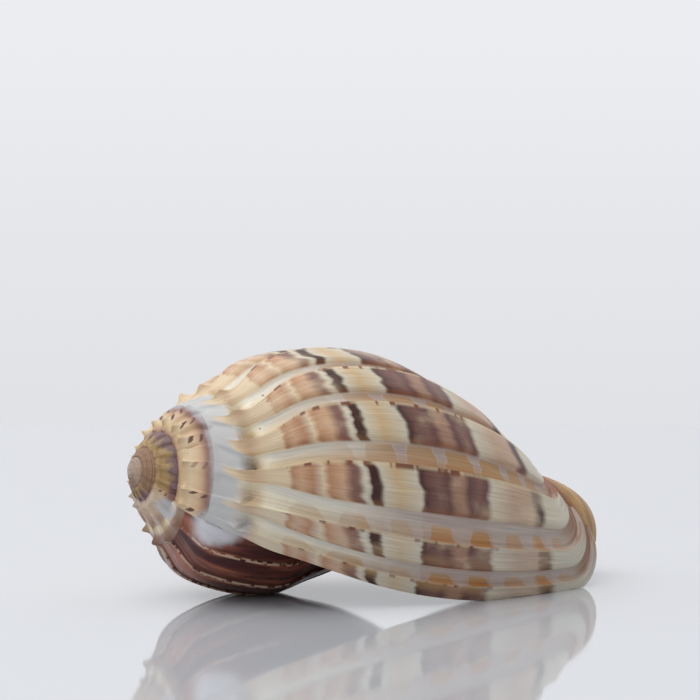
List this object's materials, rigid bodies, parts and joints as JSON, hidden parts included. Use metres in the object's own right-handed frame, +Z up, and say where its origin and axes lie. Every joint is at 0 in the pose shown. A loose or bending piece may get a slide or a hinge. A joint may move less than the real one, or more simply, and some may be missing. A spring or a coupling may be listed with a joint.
{
  "type": "harp shell",
  "caption": "Ribbed harp snail shell with a low spire, a wide open aperture and a glazed callus, lying aperture down.",
  "frame": {"origin": "centre of the shell's footprint, on the surface that it lies on", "axes": "+X from the spire's apex to the anterior end, +Z up as the shell lies, -Y the side that shows the outer lip"},
  "size_m": [0.071, 0.0396, 0.0332],
  "materials": {
    "shell": "glossy"
  },
  "bodies": {
    "root": {"harp_shell": "shell"}
  },
  "joints": []
}
